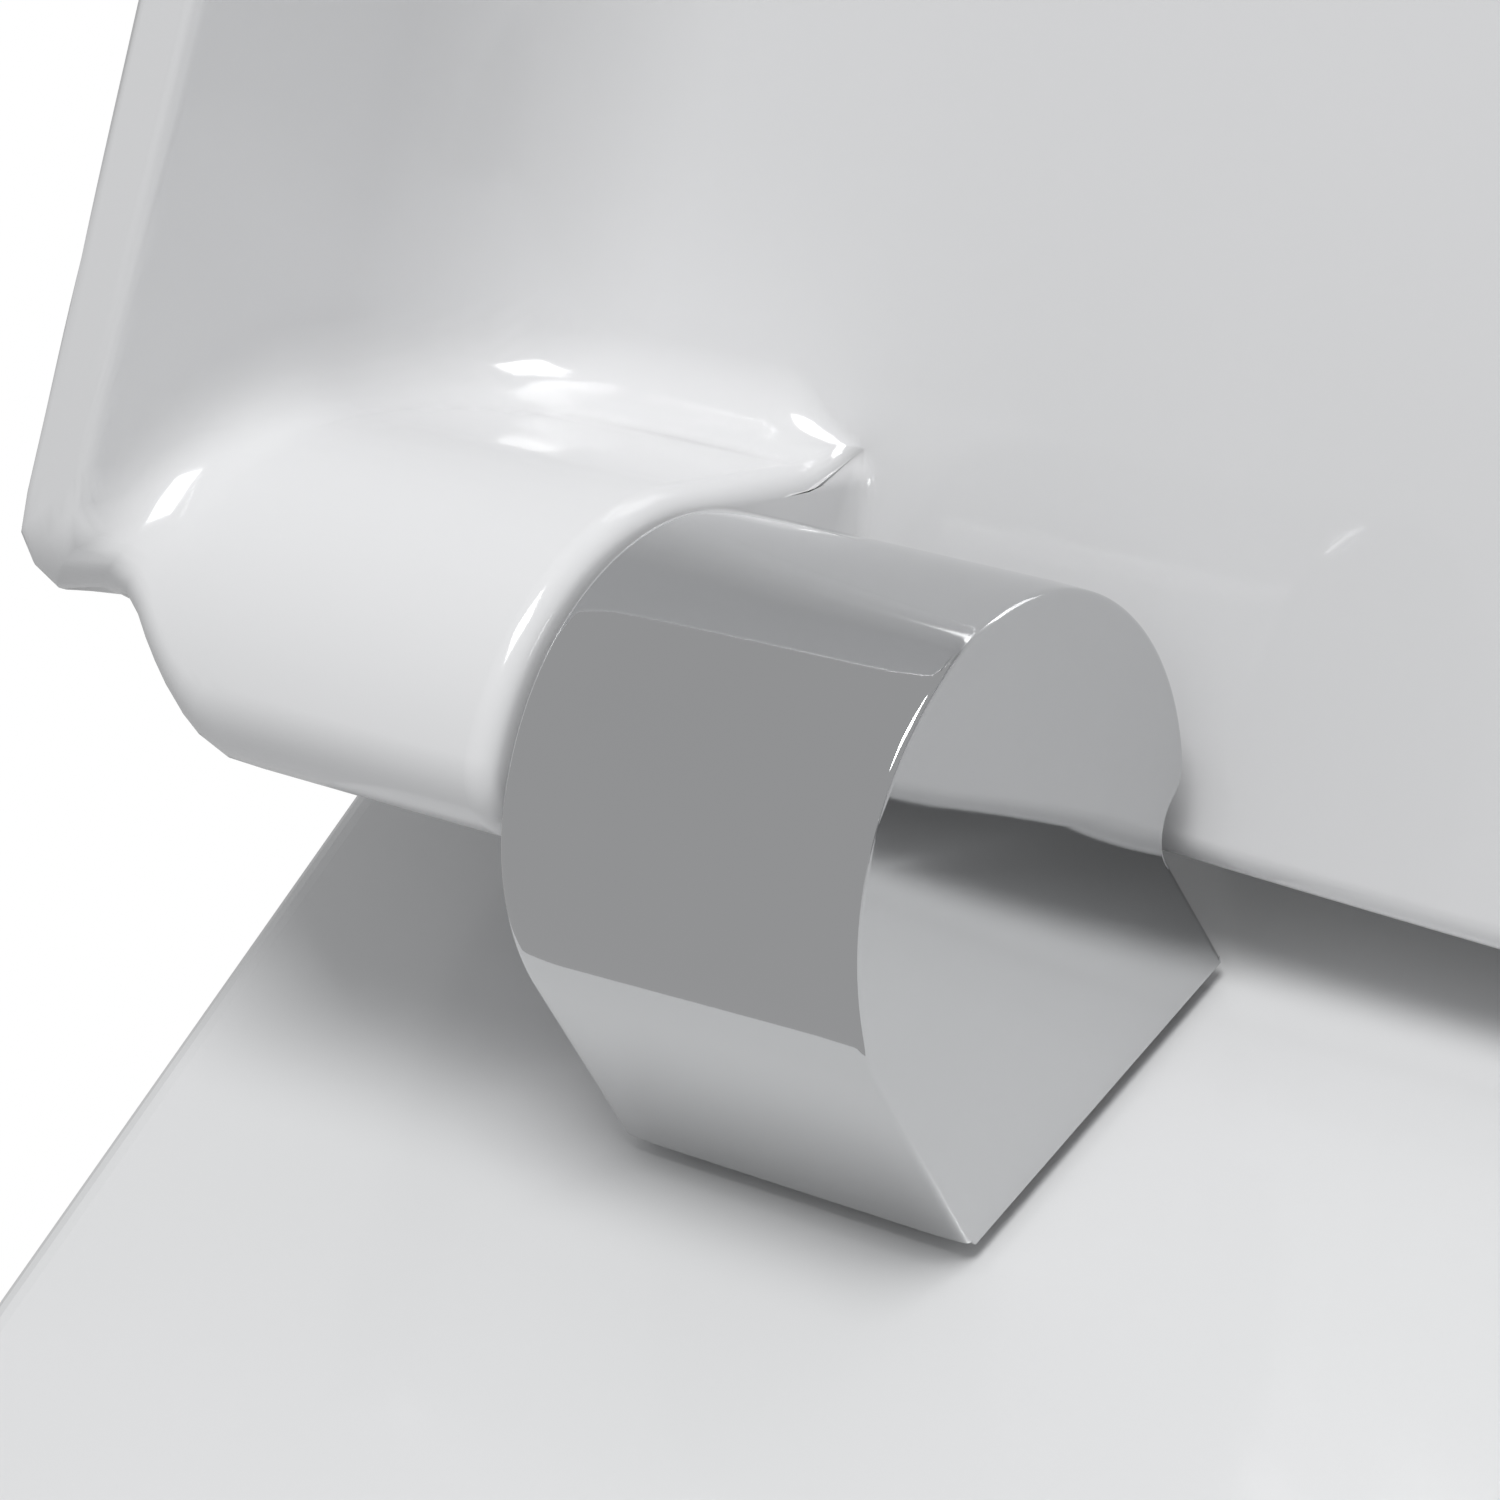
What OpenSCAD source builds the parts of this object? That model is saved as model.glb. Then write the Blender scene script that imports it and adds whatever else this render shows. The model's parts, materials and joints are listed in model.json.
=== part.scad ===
// Urinal lid: a thermoset lid on two chromed hinge posts, shown open.
// Origin: on the deck, midway between the studs. X along the hinge line, Y to the wall, Z up.

/* [Hinge line] */
// Distance between the two mounting studs
stud_spacing = 196; // [180:1:220]
// How far the lid opens from closed, in degrees
open_angle = 117.5; // [100:0.5:118]
// Gap between each post and the lug beside it
lug_gap = 0.6; // [0.5:0.1:1.2]

/* [Hinge post] */
// Radius of the round barrel
barrel_r = 16; // [15:0.25:16.5]
// Length of the barrel along the hinge line
post_w = 25; // [22:0.5:30]
// Height of the hinge axis above the foot
axis_h = 18.3; // [18.3:0.1:21]
// Reach of the foot in front of the axis
foot_front = 11.9; // [9:0.1:13]
// Reach of the foot behind the axis
foot_back = 15.4; // [14.5:0.1:15.5]
// Radius of the swing notch below the barrel's back
notch_r = 2.7; // [2.4:0.1:3]
// Radius of the soft lip where the barrel turns into the notch
lip_r = 2.6; // [2:0.1:3]
// Wall round the pocket in the post's underside
post_wall = 3; // [2.5:0.25:4]
// Depth of the pocket in the post's underside
pocket_h = 8; // [5:0.5:9]

/* [Hinge pin and bush] */
// Radius of the hinge pin
pin_r = 3; // [2.5:0.1:3.2]
// Depth of the pin in the post
pin_in_post = 18; // [16:0.5:20]
// Length of the pin in the bush
pin_in_bush = 22; // [18:0.5:24]
// Running clearance round the pin in the bush
pin_run = 0.05; // [0.03:0.01:0.09]
// Wall of the plastic bush
bush_wall = 1; // [0.8:0.1:1.2]
// Length of the bush body
bush_l = 24; // [24:0.5:28]
// Flange width of the bush beyond its body
flange_w = 1; // [0.6:0.1:1.2]
// Flange thickness of the bush
flange_t = 1.2; // [1:0.1:2]
// How far the flange stands out of the lug
flange_proud = 0.3; // [0.1:0.05:0.4]

/* [Lid] */
// Width of the lid at the hinge line
lid_w = 300; // [290:1:330]
// Reach of the lid in front of the hinge line
lid_l = 330; // [300:1:360]
// Reach of the lid behind the hinge line
lid_back = 3; // [2:0.25:3.5]
// Taper of each side towards the front, in degrees
side_taper = 13.3; // [8:0.1:14]
// Radius of the front corners in plan
front_r = 62; // [40:1:66]
// Radius of the back corners in plan
back_r = 5; // [3:0.5:6]
// Width of the rim edge
rim_w = 4.6; // [4:0.1:6]
// Drop of the rim edge below the axis
rim_drop = 17.6; // [16.5:0.1:17.7]
// Height of the panel's inner face above the axis
panel_in = 17.8; // [17.4:0.1:18.2]
// Thickness of the panel
panel_t = 5; // [4:0.25:6]
// Rounding of the outer edge between panel and sides
top_r = 7; // [5:0.5:9]
// Rounding of the panel's back edge
back_edge_r = 2; // [1:0.25:2.25]
// Fillet between the rim's inside and the panel
inner_r = 14; // [8:0.5:16]
// Rise of the panel's crown
crown_h = 2; // [1:0.25:3]
// Width over which the crown rises
crown_w = 45; // [35:1:48]
// Rounding of the back lower corner, which clears the deck as the lid swings
swing_r = 9; // [7:0.25:9.5]

/* [Hinge lug] */
// Radius of the lug about the hinge axis
lug_r = 17; // [16.5:0.1:17.4]
// Rounding of the lug's end beside the rim
lug_end_r = 9; // [6:0.5:10]
// Rounding of the lug's edge beside the post
lug_edge_r = 1.6; // [1:0.1:2]
// Fillet between the lug's front and the panel
lug_fillet = 4; // [2:0.25:6]
// Least wall of the lug behind the bush's flange
lug_wall = 0.7; // [0.5:0.1:1]
// Lean of the lug's back below the bush, in degrees
lug_lean = 17; // [12:0.5:20]

/* [Buffers] */
// Radius of a buffer's head
buffer_r = 4.5; // [3.5:0.25:5]
// Gap between the closed rim and the deck, filled by the buffers
buffer_t = 1.9; // [1.5:0.1:2.5]
// Radius of a buffer's stem
buffer_stem_r = 2; // [1.5:0.1:2.5]
// Length of a buffer's stem
buffer_stem_l = 8; // [6:0.5:10]
// Distance of the side buffers in front of the axis
buffer_side_y = 120; // [90:1:160]
// Distance of the front buffers from the middle
buffer_front_x = 30; // [20:1:40]
// Height of the thickened pad that holds each buffer
pad_h = 14; // [11:0.5:20]

/* [Fastening] */
// Thickness of the ceramic deck that the studs pass through
deck_t = 15; // [12:0.5:25]
// Thickness of the gasket under each foot
gasket_t = 1.2; // [1:0.1:2]
// How far the gasket stays back from the foot's edge
gasket_inset = 1.8; // [1:0.1:2.5]
// Radius of the stud's plain shank
stud_r = 4; // [3:0.1:4.5]
// Depth of the stud's thread below its plain shank
thread_d = 0.4; // [0.2:0.05:0.5]
// Depth of the stud in the post
stud_in_post = 9; // [7:0.25:10]
// Length of thread left below the wing nut
stud_end = 9; // [4:0.5:14]
// Height of the cone that centres the stud in its hole
cone_h = 5; // [3:0.5:6]
// Radius of the cone's top
cone_top_r = 6; // [5.5:0.25:6.5]
// Radius of the cone's flange
cone_flange_r = 12.5; // [10:0.5:14]
// Thickness of the cone's flange
cone_flange_t = 3; // [2:0.25:4]
// Thickness of the flat washer
washer_t = 1.6; // [1.2:0.1:2.5]
// Height of the wing nut's hub
nut_h = 9; // [7:0.5:11]
// Radius of the wing nut's hub
nut_r = 8; // [6.5:0.25:9]
// Reach of each wing from the nut's axis
wing_reach = 17; // [13:0.5:20]
// Thickness of the wings
wing_t = 3; // [2:0.25:4]
// Radius of the grub screw that locks the pin
screw_r = 2.5; // [2:0.1:2.7]
// Length of the grub screw
screw_l = 8; // [6:0.5:10]
// Distance of the grub screw from the post's outer end
screw_x = 4.2; // [4:0.1:4.6]

/* [Hidden] */
$fn = 64;

// Clearance between parts that are screwed or pushed together
fit = 0.03;
// Overlap that joins the shapes of one moulding
weld = 0.5;
// Steps in a rounded edge
steps = 6;

axis_z = gasket_t + axis_h;
post_in_x = stud_spacing / 2 - post_w / 2;
post_out_x = stud_spacing / 2 + post_w / 2;
lug_in_x = post_out_x + lug_gap;
thread_r = stud_r - thread_d;
bush_r = pin_r + pin_run + bush_wall;
flange_r = bush_r + flange_w;
lug_back_r = flange_r + lug_wall;
shank_l = deck_t - cone_h - 0.5;
washer_z = -deck_t - cone_flange_t;
nut_z = washer_z - washer_t;
buffer_pad_r = buffer_stem_r + 3.5;

white = [0.93, 0.93, 0.94];
chrome = [0.72, 0.73, 0.75];
steel = [0.62, 0.63, 0.65];
rubber = [0.16, 0.16, 0.17];
plastic = [0.86, 0.86, 0.84];

function unit(v) = v / norm(v);
function at(a) = [cos(a), sin(a)];
// Angle of the tangent point on a circle of radius r round the origin, seen from point p
function tangent_angle(p, r, side) = atan2(p.y, p.x) + side * acos(r / norm(p));
// Crossing of two circles, the one on the left of the line from c1 to c2
function crossing(c1, r1, c2, r2) =
    let (d = norm(c2 - c1), a = (d * d + r1 * r1 - r2 * r2) / (2 * d),
         h = sqrt(r1 * r1 - a * a), u = unit(c2 - c1))
    c1 + a * u + h * [-u.y, u.x];
// Arc of radius r that rounds corner b between points a and c
function corner(a, b, c, r) =
    let (u = unit(a - b), v = unit(c - b), half = acos(u * v) / 2,
         m = b + unit(u + v) * r / sin(half), from = b + u * r / tan(half) - m,
         to = b + v * r / tan(half) - m, a0 = atan2(from.y, from.x),
         turn = (atan2(to.y, to.x) - a0 + 540) % 360 - 180, n = 16)
    [for (i = [0 : n]) m + r * at(a0 + turn * i / n)];

// Half width of the lid at depth y, moved in by d
function side_x(y, d) = lid_w / 2 + y * tan(side_taper) - d / cos(side_taper);
// Corners of the lid in plan, moved in by d, with its back edge at y = back
function plan_corners(d, back) =
    [[side_x(back, d), back], [side_x(d - lid_l, d), d - lid_l],
     [-side_x(d - lid_l, d), d - lid_l], [-side_x(back, d), back]];
function plan(d, back, round_back) =
    let (p = plan_corners(d, back), r = max(front_r - d, 2))
    concat(corner(p[3], p[0], p[1], round_back), corner(p[0], p[1], p[2], r),
           corner(p[1], p[2], p[3], r), corner(p[2], p[3], p[0], round_back));
// Fall of the crown at a distance d in from where it starts
function crown(d) = crown_h * pow(1 - d / crown_w, 2);

// Profile of the post along the hinge line: barrel, swing notch and flared foot
module post_profile() {
    foot_f = [-foot_front, -axis_h];
    foot_b = [foot_back, -axis_h];
    front_tan = barrel_r * at(tangent_angle(foot_f, barrel_r, -1));
    notch_c = [0.93 * barrel_r, -0.49 * barrel_r];
    flare_tan = notch_c + notch_r * at(tangent_angle(foot_b - notch_c, notch_r, -1));
    lip_c = crossing([0, 0], barrel_r - lip_r, notch_c, lip_r + notch_r);
    difference() {
        union() {
            circle(r = barrel_r, $fn = 128);
            polygon([front_tan, foot_f, foot_b, flare_tan, notch_c]);
        }
        translate(notch_c) circle(r = notch_r);
        difference() {
            polygon([lip_c, unit(lip_c) * barrel_r, unit(lip_c) * barrel_r * 1.2,
                     notch_c + [notch_r, 0], notch_c, lip_c + unit(notch_c - lip_c) * lip_r]);
            translate(lip_c) circle(r = lip_r);
        }
    }
}

// Bar along X with the given profile, whose x and y become Y and Z
module along_x(x0, x1) {
    translate([x0, 0, 0]) rotate([90, 0, 90]) linear_extrude(x1 - x0) children();
}

// Round bar along X
module rod_x(r, x0, x1) {
    translate([x0, 0, 0]) rotate([0, 90, 0]) cylinder(r = r, h = x1 - x0);
}

module hinge_post() {
    foot_z = gasket_t;
    color(chrome) difference() {
        translate([0, 0, axis_z]) along_x(post_in_x, post_out_x) post_profile();
        translate([0, 0, axis_z]) rod_x(pin_r + fit, post_out_x - pin_in_post - fit, post_out_x + 1);
        // Pocket round the two threaded bosses
        difference() {
            translate([post_in_x + post_wall, post_wall - foot_front, foot_z - 1])
                cube([post_w - 2 * post_wall, foot_front + foot_back - 2 * post_wall, pocket_h + 1]);
            translate([stud_spacing / 2, 0, 0]) cylinder(r = thread_r + 2.4, h = axis_z);
            translate([post_out_x - screw_x, 0, 0]) cylinder(r = screw_r + 1.8, h = axis_z);
        }
        translate([stud_spacing / 2, 0, foot_z - 1]) cylinder(r = thread_r + fit, h = stud_in_post + 1 + fit);
        translate([post_out_x - screw_x, 0, foot_z - 1]) cylinder(r = screw_r + fit, h = axis_h);
    }
}

module hinge_pin() {
    color(steel) translate([0, 0, axis_z]) {
        x0 = post_out_x - pin_in_post;
        x1 = lug_in_x + pin_in_bush;
        rod_x(pin_r, x0 + 1, x1 - 1);
        translate([x0, 0, 0]) rotate([0, 90, 0]) cylinder(r1 = pin_r - 0.8, r2 = pin_r, h = 1);
        translate([x1 - 1, 0, 0]) rotate([0, 90, 0]) cylinder(r1 = pin_r, r2 = pin_r - 0.8, h = 1);
    }
}

module hinge_bush() {
    color(plastic) translate([0, 0, axis_z]) difference() {
        union() {
            rod_x(bush_r, lug_in_x, lug_in_x + bush_l);
            rod_x(flange_r, lug_in_x - flange_proud, lug_in_x - flange_proud + flange_t);
        }
        rod_x(pin_r + pin_run, lug_in_x - 1 - flange_proud, lug_in_x + bush_l + 1);
    }
}

module pin_screw() {
    top = axis_z - pin_r - fit;
    color(steel) translate([post_out_x - screw_x, 0, 0]) difference() {
        translate([0, 0, top - screw_l]) cylinder(r = screw_r, h = screw_l);
        translate([0, 0, top - screw_l - 1]) cylinder(r = 1.45, h = 4, $fn = 6);
    }
}

module rounded_square(w, d, r) {
    translate([-w / 2 + r, -d / 2]) square([w - 2 * r, d]);
    translate([-w / 2, -d / 2 + r]) square([w, d - 2 * r]);
    for (x = [-1, 1], y = [-1, 1])
        translate([x * (w / 2 - r), y * (d / 2 - r)]) circle(r = r);
}

module base_gasket() {
    color(rubber) linear_extrude(gasket_t) difference() {
        translate([stud_spacing / 2, (foot_back - foot_front) / 2])
            rounded_square(post_w - 2 * gasket_inset, foot_front + foot_back - 2 * gasket_inset, 2);
        translate([stud_spacing / 2, 0]) circle(r = stud_r + 0.3);
    }
}

module mounting_stud() {
    bottom = nut_z - nut_h - stud_end;
    color(steel) translate([stud_spacing / 2, 0, 0]) {
        translate([0, 0, -shank_l]) cylinder(r = stud_r, h = shank_l);
        cylinder(r = thread_r, h = gasket_t + stud_in_post);
        translate([0, 0, bottom + 1]) cylinder(r = thread_r, h = -shank_l - bottom - 1);
        translate([0, 0, bottom]) cylinder(r1 = thread_r - 0.8, r2 = thread_r, h = 1);
    }
}

module cone_washer() {
    color(rubber) translate([stud_spacing / 2, 0, 0]) difference() {
        union() {
            translate([0, 0, washer_z]) cylinder(r = cone_flange_r, h = cone_flange_t);
            translate([0, 0, -deck_t]) cylinder(r1 = cone_top_r + 1.5, r2 = cone_top_r, h = cone_h);
        }
        translate([0, 0, washer_z - 1]) cylinder(r = thread_r + fit, h = deck_t);
    }
}

module flat_washer() {
    color(steel) translate([stud_spacing / 2, 0, nut_z]) difference() {
        cylinder(r = cone_flange_r - 1, h = washer_t);
        translate([0, 0, -1]) cylinder(r = stud_r + 0.2, h = washer_t + 2);
    }
}

module wing_nut() {
    color(plastic) translate([stud_spacing / 2, 0, nut_z - nut_h]) difference() {
        union() {
            cylinder(r1 = nut_r - 1, r2 = nut_r, h = nut_h);
            for (side = [0, 180]) rotate([0, 0, side])
                rotate([90, 0, 0]) translate([0, 0, -wing_t / 2]) linear_extrude(wing_t) wing();
        }
        translate([0, 0, -1]) cylinder(r = thread_r + fit, h = nut_h + 2);
    }
}

// One wing in side view, rising from the hub to a round tip
module wing() {
    tip_r = nut_h / 2;
    tip = [wing_reach - tip_r, tip_r - 2];
    translate(tip) circle(r = tip_r);
    polygon([[nut_r - 2, 1], [nut_r - 2, nut_h - 1], tip + [0, tip_r], tip, tip - [0.6, tip_r - 0.1]]);
}

// Place of each buffer on the rim, in plan
side_pad = [side_x(-buffer_side_y, rim_w / 2 + 2), -buffer_side_y];
front_pad = [buffer_front_x, rim_w / 2 + 2 - lid_l];

// Moves a shape from the closed lid's place, with the axis at its origin, to the open lid's
module opened() {
    translate([0, 0, axis_z]) rotate([-open_angle, 0, 0]) children();
}

module buffer(place) {
    head_r = buffer_r;
    color(rubber) opened() translate([place.x, place.y, -rim_drop]) {
        translate([0, 0, -buffer_t]) cylinder(r1 = head_r - 0.6, r2 = head_r, h = 0.8);
        translate([0, 0, 0.8 - buffer_t]) cylinder(r = head_r, h = buffer_t - 0.8);
        cylinder(r = buffer_stem_r, h = buffer_stem_l);
    }
}

// Solid through a stack of layers, each a height and an outline of as many points
module loft(layers) {
    m = len(layers[0][1]);
    n = len(layers);
    points = [for (l = layers) for (p = l[1]) [p.x, p.y, l[0]]];
    sides = [for (k = [0 : n - 2], i = [0 : m - 1])
        let (a = k * m + i, b = k * m + (i + 1) % m)
        each [[a, b, b + m], [a, b + m, a + m]]];
    foot = [[for (i = [m - 1 : -1 : 0]) i]];
    head = [[for (i = [0 : m - 1]) (n - 1) * m + i]];
    polyhedron(points, concat(foot, sides, head));
}

// Outside of the lid: straight sides, rounded upper edge and a low crown
module lid_outside() {
    top = panel_in + panel_t;
    edge = [for (i = [0 : steps])
        let (a = 90 * i / steps, d = top_r * (1 - cos(a)))
        [top - crown(0) - top_r * (1 - sin(a)), plan(d, lid_back - d * back_edge_r / top_r, back_r)]];
    rise = [for (i = [1 : steps])
        let (d = crown_w * i / steps)
        [top - crown(d), plan(top_r + d, lid_back - back_edge_r, back_r)]];
    loft(concat([[-rim_drop, plan(0, lid_back, back_r)]], edge, rise));
}

// Hollow of the lid: open at the back, with a wide fillet up to the panel
module lid_hollow() {
    past = lid_back + 30;
    fillet = [for (i = [0 : steps])
        let (a = 90 * i / steps)
        [panel_in - crown(0) - inner_r * (1 - sin(a)), plan(rim_w + inner_r * (1 - cos(a)), past, 1)]];
    rise = [for (i = [1 : steps])
        let (d = crown_w * i / steps)
        [panel_in - crown(d), plan(rim_w + inner_r + d, past, 1)]];
    loft(concat([[-rim_drop - 1, plan(rim_w, past, 1)]], fillet, rise));
}

// Half section of the lug, from the axis outwards, with both end edges rounded
module lug_section(len) {
    square([lug_r - lug_end_r, len]);
    translate([0, lug_edge_r]) square([lug_r, len - lug_edge_r - lug_end_r]);
    square([lug_r - lug_edge_r, len / 2]);
    translate([lug_r - lug_edge_r, lug_edge_r]) circle(r = lug_edge_r);
    intersection() {
        translate([lug_r - lug_end_r, len - lug_end_r]) circle(r = lug_end_r);
        square([lug_r, len]);
    }
}

// Side view of the lug's back: round behind the bush, leaning to the panel above and to the nose below
module lug_back() {
    far = 2 * lug_r;
    meet = lug_back_r * at(-lug_lean);
    circle(r = lug_back_r);
    polygon([meet, [0, lug_back_r], [lug_back_r, 0], [lid_back, panel_in + panel_t],
             [-far, panel_in + panel_t], [-far, -far], meet - far * [sin(lug_lean), cos(lug_lean)]]);
}

// The lug beside the right post: a round nose on the axis, carried up into the panel
module lug() {
    out_x = side_x(0, rim_w / 2);
    wall_x = side_x(-lug_r, rim_w / 2);
    intersection() {
        union() {
            translate([lug_in_x, 0, 0]) rotate([0, 90, 0])
                rotate_extrude($fn = 96) lug_section(out_x - lug_in_x);
            translate([lug_in_x, -lug_r, 0]) cube([out_x - lug_in_x, 2 * lug_r, panel_in + panel_t / 2]);
            // Fillet between the lug's front and the panel
            along_x(lug_in_x, wall_x) difference() {
                translate([-lug_r - lug_fillet, panel_in - lug_fillet]) square(lug_fillet + weld);
                translate([-lug_r - lug_fillet, panel_in - lug_fillet]) circle(r = lug_fillet);
            }
        }
        along_x(lug_in_x, out_x) lug_back();
        translate([0, 0, -lug_r - 1]) linear_extrude(panel_in + panel_t + lug_r)
            polygon(plan(0, lid_back + lug_back_r, 1));
    }
}

// Thickened pad in the rim round a buffer's socket
module buffer_pad(place) {
    translate([place.x, place.y, -rim_drop]) {
        cylinder(r = buffer_pad_r, h = pad_h - buffer_pad_r);
        translate([0, 0, pad_h - buffer_pad_r]) cylinder(r1 = buffer_pad_r, r2 = 1, h = buffer_pad_r);
    }
}

module buffer_socket(place) {
    translate([place.x, place.y, -rim_drop - 1]) cylinder(r = buffer_stem_r + fit, h = buffer_stem_l + 1.3);
}

module lid() {
    color(white) opened() difference() {
        union() {
            difference() {
                lid_outside();
                lid_hollow();
                // Rounding of the back lower corners
                along_x(-lid_w, lid_w) difference() {
                    translate([lid_back - swing_r, -rim_drop - 1]) square(swing_r + 1);
                    translate([lid_back - swing_r, swing_r - rim_drop]) circle(r = swing_r);
                }
            }
            intersection() {
                lid_outside();
                for (side = [0, 1]) mirror([side, 0, 0]) {
                    buffer_pad(side_pad);
                    buffer_pad(front_pad);
                }
            }
            for (side = [0, 1]) mirror([side, 0, 0]) lug();
        }
        for (side = [0, 1]) mirror([side, 0, 0]) {
            rod_x(bush_r + fit, lug_in_x - 1, lug_in_x + bush_l + 0.5);
            rod_x(flange_r + fit, lug_in_x - 1, lug_in_x + flange_t - flange_proud);
            buffer_socket(side_pad);
            buffer_socket(front_pad);
        }
    }
}

// The left pieces are the right ones mirrored
module left() {
    mirror([1, 0, 0]) children();
}

lid();
left() hinge_post();  // hinge_post_left
hinge_post();  // hinge_post_right
left() hinge_pin();  // hinge_pin_left
hinge_pin();  // hinge_pin_right
left() hinge_bush();  // hinge_bush_left
hinge_bush();  // hinge_bush_right
left() pin_screw();  // pin_screw_left
pin_screw();  // pin_screw_right
left() base_gasket();  // base_gasket_left
base_gasket();  // base_gasket_right
left() mounting_stud();  // mounting_stud_left
mounting_stud();  // mounting_stud_right
left() cone_washer();  // cone_washer_left
cone_washer();  // cone_washer_right
left() flat_washer();  // flat_washer_left
flat_washer();  // flat_washer_right
left() wing_nut();  // wing_nut_left
wing_nut();  // wing_nut_right
left() buffer(front_pad);  // buffer_front_left
buffer(front_pad);  // buffer_front_right
left() buffer(side_pad);  // buffer_side_left
buffer(side_pad);  // buffer_side_right
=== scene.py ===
import json
import math
import bmesh
import bpy
import numpy as np
from mathutils import Matrix, Vector


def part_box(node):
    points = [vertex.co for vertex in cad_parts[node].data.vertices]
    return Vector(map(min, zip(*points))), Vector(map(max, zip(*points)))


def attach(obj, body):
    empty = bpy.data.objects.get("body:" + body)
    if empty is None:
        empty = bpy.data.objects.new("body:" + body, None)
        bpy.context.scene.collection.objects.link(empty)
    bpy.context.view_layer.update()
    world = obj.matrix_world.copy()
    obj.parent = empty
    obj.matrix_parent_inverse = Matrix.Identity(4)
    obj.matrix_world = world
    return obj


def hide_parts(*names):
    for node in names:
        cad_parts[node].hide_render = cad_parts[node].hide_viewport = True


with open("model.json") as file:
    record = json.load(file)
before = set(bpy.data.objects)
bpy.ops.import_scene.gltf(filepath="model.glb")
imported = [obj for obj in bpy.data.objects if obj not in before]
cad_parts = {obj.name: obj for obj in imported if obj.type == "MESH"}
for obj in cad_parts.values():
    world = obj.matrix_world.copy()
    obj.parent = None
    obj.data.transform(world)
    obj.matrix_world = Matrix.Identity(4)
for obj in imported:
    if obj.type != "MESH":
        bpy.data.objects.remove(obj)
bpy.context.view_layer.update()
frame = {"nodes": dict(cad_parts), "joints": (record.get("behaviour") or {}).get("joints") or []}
nodes = frame["nodes"]

# The view: a close look at the left hinge from the front right of it and above, as in the photograph.
# The camera stands by the left post's inner end, one barrel radius being the measure of the distances.
hinge = frame["joints"][0]
axis = Vector(hinge["pos_m"])
post_low, post_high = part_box("hinge_post_left")
barrel = post_high.z - axis.z
target = Vector((post_high.x, axis.y, axis.z))
turn, rise, roll = math.radians(44.787), math.radians(35.097), math.radians(-14.931)
camera_place = barrel * Vector((9.3045, -10.5403, 10.6622))
film_width, focal_pixels, photo_pixels = 36, 5087, 1500
level = Vector((math.cos(turn), math.sin(turn), 0))
back = Vector((math.sin(turn) * math.cos(rise), -math.cos(turn) * math.cos(rise), math.sin(rise)))
over = back.cross(level)
across = math.cos(roll) * level + math.sin(roll) * over
upright = math.cos(roll) * over - math.sin(roll) * level
facing = Matrix((across, upright, back)).transposed().to_4x4()
photo_camera = bpy.data.objects.new("camera", bpy.data.cameras.new("camera"))
bpy.context.scene.collection.objects.link(photo_camera)
photo_camera.matrix_world = Matrix.Translation(target + camera_place) @ facing
photo_camera.data.sensor_width = film_width
photo_camera.data.lens = film_width * focal_pixels / photo_pixels
photo_camera.data.clip_start = 0.01
photo_camera.data.clip_end = 20
bpy.context.scene.camera = photo_camera


# The lid: one thermoset moulding, compression moulded and polished. Its panel, side and front rim and
# two hinge lugs are one piece with soft fillets, and the lugs are bored for the hinge bushes.
# It is shaped closed, in mm from the hinge axis with y to the back, then turned to where the lid stands.
shut = Matrix.Rotation(-math.radians(hinge["range_deg"][1]), 4, "X")
place = Matrix.Translation(axis) @ shut @ Matrix.Scale(0.001, 4)
unplace = place.inverted()
lid_points = np.array([unplace @ v.co for v in nodes["lid"].data.vertices])
rim_drop, lid_top, lid_reach = -lid_points[:, 2].min(), lid_points[:, 2].max(), -lid_points[:, 1].min()
# The solid's rounded back corner takes a little off its width at the hinge line
corner_loss = 0.6
half_width = lid_points[:, 0].max() + corner_loss
side_turn = 13.3
taper, slope = math.cos(math.radians(side_turn)), math.tan(math.radians(side_turn))
side_x = math.sin(math.radians(side_turn))
panel_wall, fillet, rim_width, corner = 5, 14, 4.6, 62
crown_rise, crown_run, top_round, lip_round = 2, 45, 7, 0.8
corner_y = corner - lid_reach
corner_x = half_width + corner_y * slope - corner / taper
# The back edge bows forward to the sides, and leans forward below the height that lean_from gives
edge_middle, edge_bow, bow_width, lean_from, lean_foot, lean_share = 4.2, 4, 150, 13.8, 5.9, 0.98
edge_round, end_round, end_from, end_run = 1.9, 3, 134, 10
# The lugs: a round nose under the hinge line and a back of two slopes that falls away towards the rim
running_gap = 0.6
lug_face = -post_low.x * 1000 + running_gap
lug_r, lug_back, low_slope, high_slope = 17, 5.75, math.radians(17), math.radians(13)
fall_depth, fall_from, fall_run = 8.4, 21.5, 11.5
back_round, nose_round, face_round, outer_round = 3, 4, 1.6, 9
outer_gap, lug_sink = 2.4, 4
root_round, root_growth, root_run = 1.0, 4, 6


def round_max(a, b, r):
    # The larger of two distances, with the edge between their surfaces rounded
    return np.minimum(np.maximum(a, b), -r) + np.hypot(np.maximum(a + r, 0), np.maximum(b + r, 0))


def round_min(a, b, r):
    return -round_max(-a, -b, r)


def ease(t):
    t = np.clip(t, 0, 1)
    return t * t * (3 - 2 * t)


def back_edge(x):
    return edge_middle - edge_bow * (x / bow_width) ** 2


def depth_in(x, y):
    # Distance in from the lid's side and front, with the front corner round
    side, front = (half_width + y * slope - x) * taper, y + lid_reach
    bearing = np.degrees(np.arctan2(y - corner_y, x - corner_x))
    in_corner = (bearing < -side_turn) & (bearing > -90)
    return np.where(in_corner, corner - np.hypot(x - corner_x, y - corner_y), np.minimum(side, front))


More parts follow.
